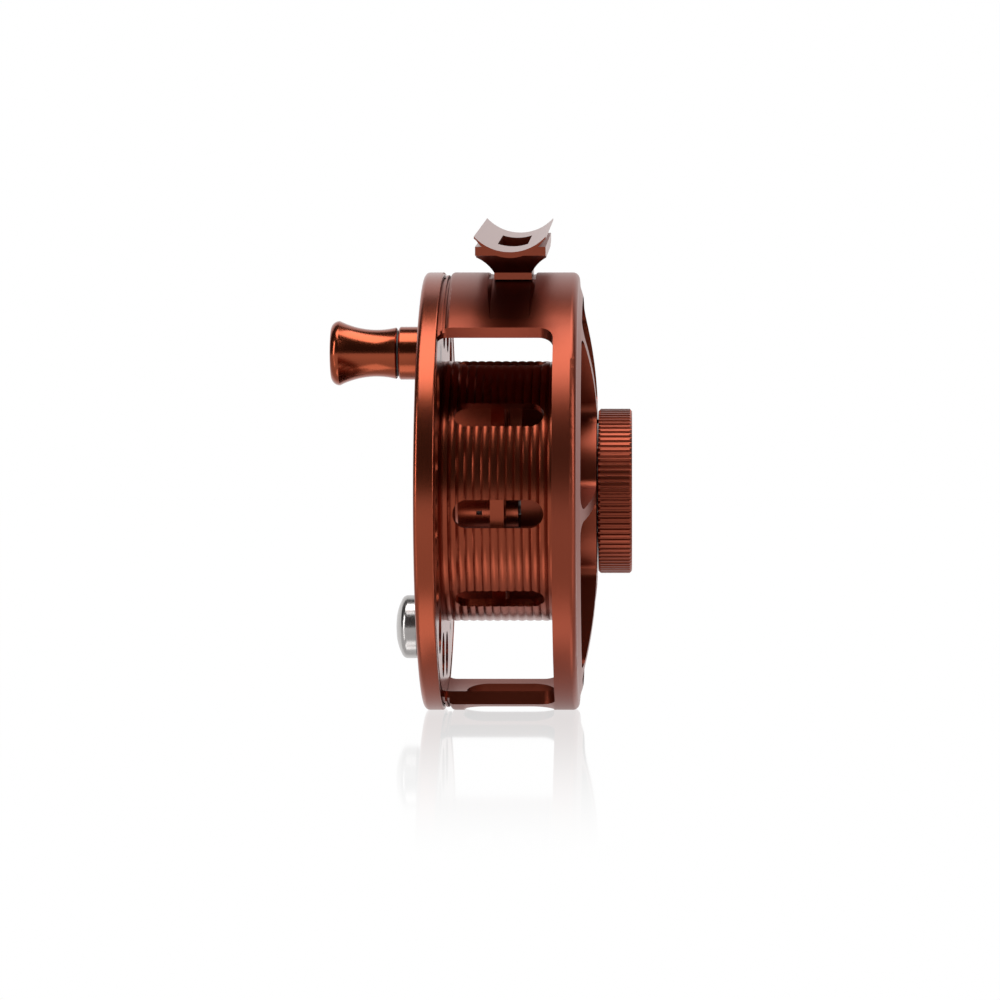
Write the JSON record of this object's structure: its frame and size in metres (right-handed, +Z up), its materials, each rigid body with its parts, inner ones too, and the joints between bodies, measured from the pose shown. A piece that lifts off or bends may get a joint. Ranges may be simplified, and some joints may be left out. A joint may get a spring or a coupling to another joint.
{
  "type": "fly reel",
  "caption": "Copper-orange anodised large-arbor fly reel with a ported spool, fluted drag knob, counterbalanced crank handle and standard reel foot.",
  "frame": {"origin": "middle of the reel foot's saddle, on the surface that rests on the rod", "axes": "+X along the spool's axis towards the drag knob, +Y along the foot and the rod, +Z up from the reel to the rod"},
  "size_m": [0.0617, 0.092, 0.1017],
  "materials": {
    "aluminium": "plain machined aluminium",
    "anodised_foot": "satin copper-orange anodised aluminium",
    "anodised_gloss": "bright-turned copper-orange anodised aluminium",
    "anodised_handle": "polished copper-orange anodised aluminium",
    "anodised_orange": "satin, bead-blasted copper-orange anodised aluminium",
    "bronze": "plain bronze bush",
    "carbon": "matt carbon-fibre drag washer",
    "polished_steel": "polished stainless steel",
    "rubber": "black nitrile",
    "steel": "satin stainless steel"
  },
  "bodies": {
    "frame_group": {"frame": "anodised_orange", "reel_foot": "anodised_foot", "foot_screws": "steel", "spindle": "steel", "spindle_nut": "steel", "knob_screw": "steel", "drag_cover": "aluminium", "cover_o_ring": "rubber", "hub_seal": "rubber", "retaining_ring": "steel", "detent_spring": "steel", "pawl_pin": "steel"},
    "spool_group": {"spool": "anodised_gloss", "click_gear": "steel", "drive_hub": "steel", "one_way_clutch": "steel", "brake_disc": "aluminium", "carbon_washers": "carbon", "spool_bushes": "bronze", "latch_cover": "anodised_gloss", "latch_screws": "steel", "latch_spring": "steel", "handle_post": "steel", "handle_ferrule": "anodised_handle", "handle_washer": "rubber", "counterweight": "polished_steel", "counterweight_screw": "steel"},
    "handle": {"handle_grip": "anodised_handle", "handle_bush": "bronze"},
    "latch": {"spool_latch": "steel"},
    "knob": {"drag_knob": "anodised_orange", "knob_bush": "bronze"},
    "thrust": {"thrust_ring": "steel", "thrust_pins": "steel", "spring_plate": "steel", "belleville_springs": "steel", "pressure_plate": "steel"},
    "detent": {"detent_pin": "steel"},
    "pawl": {"click_pawl": "steel"}
  },
  "joints": [
    {"name": "spool_spin", "type": "hinge", "parent": "frame_group", "child": "spool_group", "pos_m": [0, 0, -0.0525], "axis": [1, 0, 0], "continuous": true},
    {"name": "handle_spin", "type": "hinge", "parent": "spool_group", "child": "handle", "pos_m": [-0.03, -0.01409, -0.022], "axis": [1, 0, 0], "continuous": true},
    {"name": "latch_slide", "type": "slide", "parent": "spool_group", "child": "latch", "axis": [0, -1, 0], "range_m": [0, 0.001], "stiffness_N_per_m": 600, "springref_m": -0.0005},
    {"name": "drag_knob_turn", "type": "hinge", "parent": "frame_group", "child": "knob", "pos_m": [0, 0, -0.0525], "axis": [1, 0, 0], "range_deg": [0, 300]},
    {"name": "thrust_travel", "type": "slide", "parent": "frame_group", "child": "thrust", "axis": [-1, 0, 0], "range_m": [0, 0.000625]},
    {"name": "detent_travel", "type": "slide", "parent": "frame_group", "child": "detent", "axis": [1, 0, 0], "range_m": [0, 0.00045], "stiffness_N_per_m": 400, "springref_m": 0.0008},
    {"name": "pawl_lift", "type": "hinge", "parent": "frame_group", "child": "pawl", "pos_m": [0.009, 0.0108, -0.03379], "axis": [1, 0, 0], "range_deg": [0, 12], "stiffness_Nm_per_rad": 0.002, "springref_deg": -5.73}
  ],
  "couplings": [
    {"joint": "drag_knob_turn", "follows": "thrust_travel", "rad_per_m": 8377.3}
  ]
}
